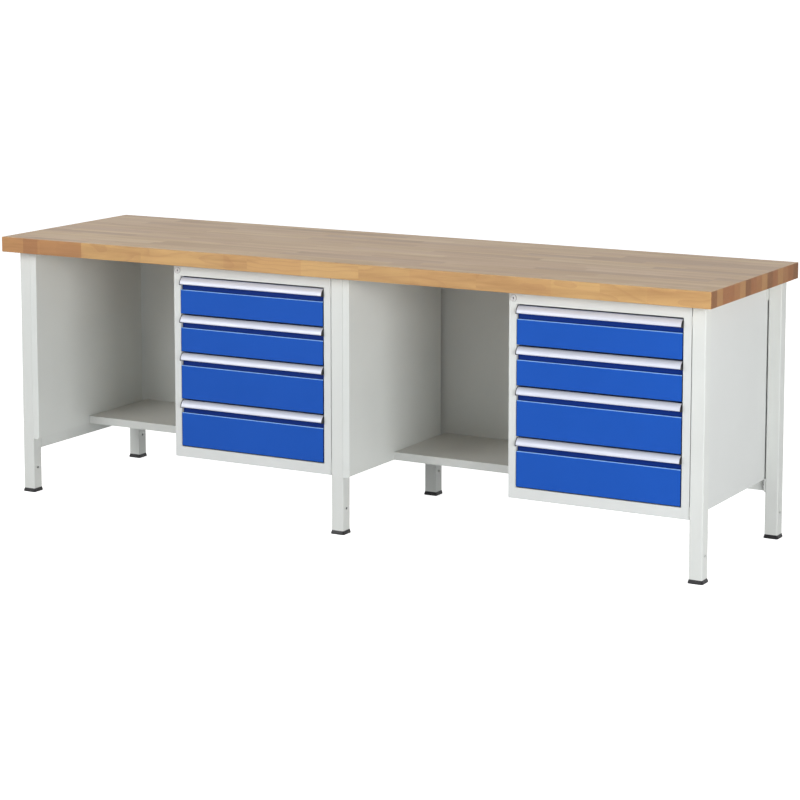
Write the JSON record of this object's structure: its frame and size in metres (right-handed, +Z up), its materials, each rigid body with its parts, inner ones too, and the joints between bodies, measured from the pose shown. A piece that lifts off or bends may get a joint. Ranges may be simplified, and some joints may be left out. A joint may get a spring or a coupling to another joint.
{
  "type": "workbench with drawers",
  "caption": "Long wood-topped workbench on a square-tube frame, with two hanging drawer cabinets, open knee bays with half shelves, grip-strip drawers and cylinder locks.",
  "frame": {"origin": "on the floor, below the middle of the worktop", "axes": "+X along the bench to the viewer's right as they stand in front of it, +Y from the front to the back, +Z up"},
  "size_m": [2.5, 0.7, 0.86],
  "materials": {
    "beech": "oiled",
    "frame_grey": "fine powder coat",
    "cabinet_grey": "fine powder coat",
    "panel_grey": "fine powder coat",
    "shelf_grey": "fine powder coat",
    "foot_black": "moulded",
    "front_blue": "fine powder coat",
    "grip_aluminium": "anodised satin",
    "tray_grey": "fine powder coat",
    "rail_steel": "zinc plated",
    "bolt_steel": "zinc plated",
    "lock_chrome": "polished"
  },
  "bodies": {
    "bench": {"worktop": "beech", "front_left_leg": "frame_grey", "front_middle_leg": "frame_grey", "front_right_leg": "frame_grey", "rear_left_leg": "frame_grey", "rear_middle_leg": "frame_grey", "rear_right_leg": "frame_grey", "foot_caps": "foot_black", "upper_traverses": "frame_grey", "lower_traverse": "frame_grey", "rear_stretchers": "frame_grey", "leg_brackets": "frame_grey", "left_side_panel": "panel_grey", "middle_side_panel": "panel_grey", "back_panels": "panel_grey", "left_shelf": "shelf_grey", "right_shelf": "shelf_grey", "left_cabinet": "cabinet_grey", "right_cabinet": "cabinet_grey", "rail_uprights": "rail_steel", "outer_rails": "rail_steel", "frame_bolts": "bolt_steel", "panel_screws": "bolt_steel", "lock_housings": "lock_chrome"},
    "left_lock_core": {"left_lock_core": "lock_chrome"},
    "left_lock_bar": {"left_lock_bar": "rail_steel"},
    "left_drawer_1": {"left_drawer_1_front": "front_blue", "left_drawer_1_grip": "grip_aluminium", "left_drawer_1_tray": "tray_grey"},
    "left_drawer_1_rails": {"left_drawer_1_rails": "rail_steel"},
    "left_drawer_2": {"left_drawer_2_front": "front_blue", "left_drawer_2_grip": "grip_aluminium", "left_drawer_2_tray": "tray_grey"},
    "left_drawer_2_rails": {"left_drawer_2_rails": "rail_steel"},
    "left_drawer_3": {"left_drawer_3_front": "front_blue", "left_drawer_3_grip": "grip_aluminium", "left_drawer_3_tray": "tray_grey"},
    "left_drawer_3_rails": {"left_drawer_3_rails": "rail_steel"},
    "left_drawer_4": {"left_drawer_4_front": "front_blue", "left_drawer_4_grip": "grip_aluminium", "left_drawer_4_tray": "tray_grey"},
    "left_drawer_4_rails": {"left_drawer_4_rails": "rail_steel"},
    "right_lock_core": {"right_lock_core": "lock_chrome"},
    "right_lock_bar": {"right_lock_bar": "rail_steel"},
    "right_drawer_1": {"right_drawer_1_front": "front_blue", "right_drawer_1_grip": "grip_aluminium", "right_drawer_1_tray": "tray_grey"},
    "right_drawer_1_rails": {"right_drawer_1_rails": "rail_steel"},
    "right_drawer_2": {"right_drawer_2_front": "front_blue", "right_drawer_2_grip": "grip_aluminium", "right_drawer_2_tray": "tray_grey"},
    "right_drawer_2_rails": {"right_drawer_2_rails": "rail_steel"},
    "right_drawer_3": {"right_drawer_3_front": "front_blue", "right_drawer_3_grip": "grip_aluminium", "right_drawer_3_tray": "tray_grey"},
    "right_drawer_3_rails": {"right_drawer_3_rails": "rail_steel"},
    "right_drawer_4": {"right_drawer_4_front": "front_blue", "right_drawer_4_grip": "grip_aluminium", "right_drawer_4_tray": "tray_grey"},
    "right_drawer_4_rails": {"right_drawer_4_rails": "rail_steel"}
  },
  "joints": [
    {"name": "left_lock_turn", "type": "hinge", "parent": "bench", "child": "left_lock_core", "pos_m": [-0.589, -0.3, 0.788], "axis": [0, -1, 0], "range_deg": [0, 90]},
    {"name": "left_lock_bar_slide", "type": "slide", "parent": "bench", "child": "left_lock_bar", "axis": [0, 0, 1], "range_m": [0, 0.01]},
    {"name": "left_drawer_1_slide", "type": "slide", "parent": "bench", "child": "left_drawer_1", "axis": [0, -1, 0], "range_m": [0, 0.5]},
    {"name": "left_drawer_1_rails_slide", "type": "slide", "parent": "bench", "child": "left_drawer_1_rails", "axis": [0, -1, 0], "range_m": [0, 0.25]},
    {"name": "left_drawer_2_slide", "type": "slide", "parent": "bench", "child": "left_drawer_2", "axis": [0, -1, 0], "range_m": [0, 0.5]},
    {"name": "left_drawer_2_rails_slide", "type": "slide", "parent": "bench", "child": "left_drawer_2_rails", "axis": [0, -1, 0], "range_m": [0, 0.25]},
    {"name": "left_drawer_3_slide", "type": "slide", "parent": "bench", "child": "left_drawer_3", "axis": [0, -1, 0], "range_m": [0, 0.5]},
    {"name": "left_drawer_3_rails_slide", "type": "slide", "parent": "bench", "child": "left_drawer_3_rails", "axis": [0, -1, 0], "range_m": [0, 0.25]},
    {"name": "left_drawer_4_slide", "type": "slide", "parent": "bench", "child": "left_drawer_4", "axis": [0, -1, 0], "range_m": [0, 0.5]},
    {"name": "left_drawer_4_rails_slide", "type": "slide", "parent": "bench", "child": "left_drawer_4_rails", "axis": [0, -1, 0], "range_m": [0, 0.25]},
    {"name": "right_lock_turn", "type": "hinge", "parent": "bench", "child": "right_lock_core", "pos_m": [0.605, -0.3, 0.788], "axis": [0, -1, 0], "range_deg": [0, 90]},
    {"name": "right_lock_bar_slide", "type": "slide", "parent": "bench", "child": "right_lock_bar", "axis": [0, 0, 1], "range_m": [0, 0.01]},
    {"name": "right_drawer_1_slide", "type": "slide", "parent": "bench", "child": "right_drawer_1", "axis": [0, -1, 0], "range_m": [0, 0.5]},
    {"name": "right_drawer_1_rails_slide", "type": "slide", "parent": "bench", "child": "right_drawer_1_rails", "axis": [0, -1, 0], "range_m": [0, 0.25]},
    {"name": "right_drawer_2_slide", "type": "slide", "parent": "bench", "child": "right_drawer_2", "axis": [0, -1, 0], "range_m": [0, 0.5]},
    {"name": "right_drawer_2_rails_slide", "type": "slide", "parent": "bench", "child": "right_drawer_2_rails", "axis": [0, -1, 0], "range_m": [0, 0.25]},
    {"name": "right_drawer_3_slide", "type": "slide", "parent": "bench", "child": "right_drawer_3", "axis": [0, -1, 0], "range_m": [0, 0.5]},
    {"name": "right_drawer_3_rails_slide", "type": "slide", "parent": "bench", "child": "right_drawer_3_rails", "axis": [0, -1, 0], "range_m": [0, 0.25]},
    {"name": "right_drawer_4_slide", "type": "slide", "parent": "bench", "child": "right_drawer_4", "axis": [0, -1, 0], "range_m": [0, 0.5]},
    {"name": "right_drawer_4_rails_slide", "type": "slide", "parent": "bench", "child": "right_drawer_4_rails", "axis": [0, -1, 0], "range_m": [0, 0.25]}
  ],
  "couplings": [
    {"joint": "left_lock_bar_slide", "follows": "left_lock_turn", "m_per_rad": 0.006366},
    {"joint": "left_drawer_1_rails_slide", "follows": "left_drawer_1_slide", "ratio": 0.5},
    {"joint": "left_drawer_2_rails_slide", "follows": "left_drawer_2_slide", "ratio": 0.5},
    {"joint": "left_drawer_3_rails_slide", "follows": "left_drawer_3_slide", "ratio": 0.5},
    {"joint": "left_drawer_4_rails_slide", "follows": "left_drawer_4_slide", "ratio": 0.5},
    {"joint": "right_lock_bar_slide", "follows": "right_lock_turn", "m_per_rad": 0.006366},
    {"joint": "right_drawer_1_rails_slide", "follows": "right_drawer_1_slide", "ratio": 0.5},
    {"joint": "right_drawer_2_rails_slide", "follows": "right_drawer_2_slide", "ratio": 0.5},
    {"joint": "right_drawer_3_rails_slide", "follows": "right_drawer_3_slide", "ratio": 0.5},
    {"joint": "right_drawer_4_rails_slide", "follows": "right_drawer_4_slide", "ratio": 0.5}
  ]
}
